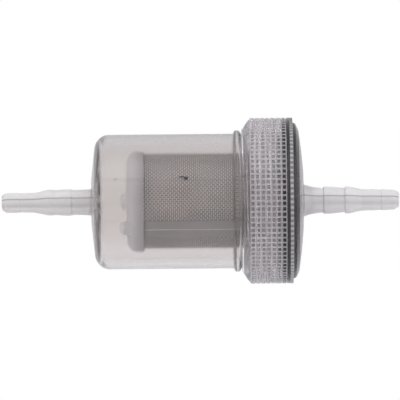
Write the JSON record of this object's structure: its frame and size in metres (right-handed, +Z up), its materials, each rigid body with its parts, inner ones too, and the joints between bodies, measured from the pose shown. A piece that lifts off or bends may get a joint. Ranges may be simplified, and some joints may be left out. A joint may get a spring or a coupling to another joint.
{
  "type": "in-line fuel filter",
  "caption": "See-through in-line fuel filter: a clear bowl with a hose spigot, a knurled clear screw cap with a hose spigot, and a fine mesh element inside.",
  "frame": {"origin": "on the filter's axis, half way between the inlet tip and the outlet tip", "axes": "+X along the filter's axis towards the screw cap and the outlet; +Z up when it lies level"},
  "size_m": [0.0882, 0.0368, 0.0368],
  "materials": {
    "bowl_plastic": "clear moulded plastic, polished",
    "cap_plastic": "clear moulded plastic, polished, knurled band",
    "seal_rubber": "smooth black nitrile rubber",
    "element_nylon": "natural translucent nylon",
    "screen_mesh": "fine plain-woven wire mesh"
  },
  "bodies": {
    "bowl": {"bowl": "bowl_plastic"},
    "seal": {"rim_seal": "seal_rubber"},
    "cap": {"screw_cap": "cap_plastic", "outlet_seal": "seal_rubber"},
    "element": {"element_end_cap": "element_nylon", "element_collar": "element_nylon", "support_cage": "element_nylon", "mesh_screen": "screen_mesh"}
  },
  "joints": [
    {"name": "cap_travel", "type": "slide", "parent": "bowl", "child": "seal", "axis": [1, 0, 0], "range_m": [0, 0.0076]},
    {"name": "cap_turn", "type": "hinge", "parent": "seal", "child": "cap", "pos_m": [0, 0, 0], "axis": [1, 0, 0], "range_deg": [0, 1180]},
    {"name": "element_pull", "type": "slide", "parent": "cap", "child": "element", "axis": [-1, 0, 0], "range_m": [0, 0.0034]}
  ],
  "couplings": [
    {"joint": "cap_travel", "follows": "cap_turn", "m_per_rad": 0.00036606}
  ]
}
